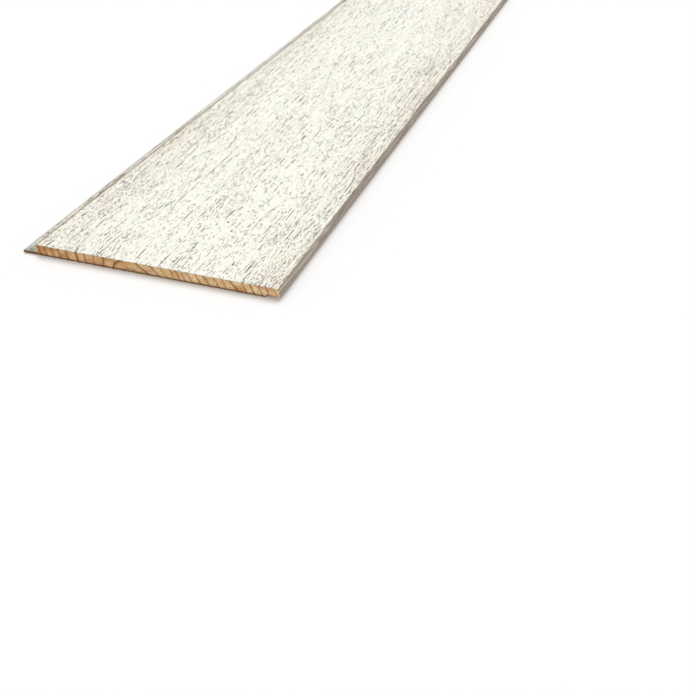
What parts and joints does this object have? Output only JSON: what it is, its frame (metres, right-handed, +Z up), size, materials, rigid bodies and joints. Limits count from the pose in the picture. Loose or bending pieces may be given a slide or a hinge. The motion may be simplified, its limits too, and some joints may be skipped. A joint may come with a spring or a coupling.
{
  "type": "shiplap wall board",
  "caption": "Long thin wall board of whitewashed pine with a lower lap lip on one long edge and a back rebate on the other, so that boards overlap in a row.",
  "frame": {"origin": "on the back face, under the middle of the board's length and overall width", "axes": "+X across the board from the lower lip to the upper lip, +Y along its length, +Z up out of the face"},
  "size_m": [0.1842, 2.4384, 0.0079],
  "materials": {
    "whitewashed_pine": "matt thin whitewash over brushed pine grain, with bare sawn wood on the ends and back"
  },
  "bodies": {
    "root": {"shiplap_board": "whitewashed_pine"}
  },
  "joints": []
}
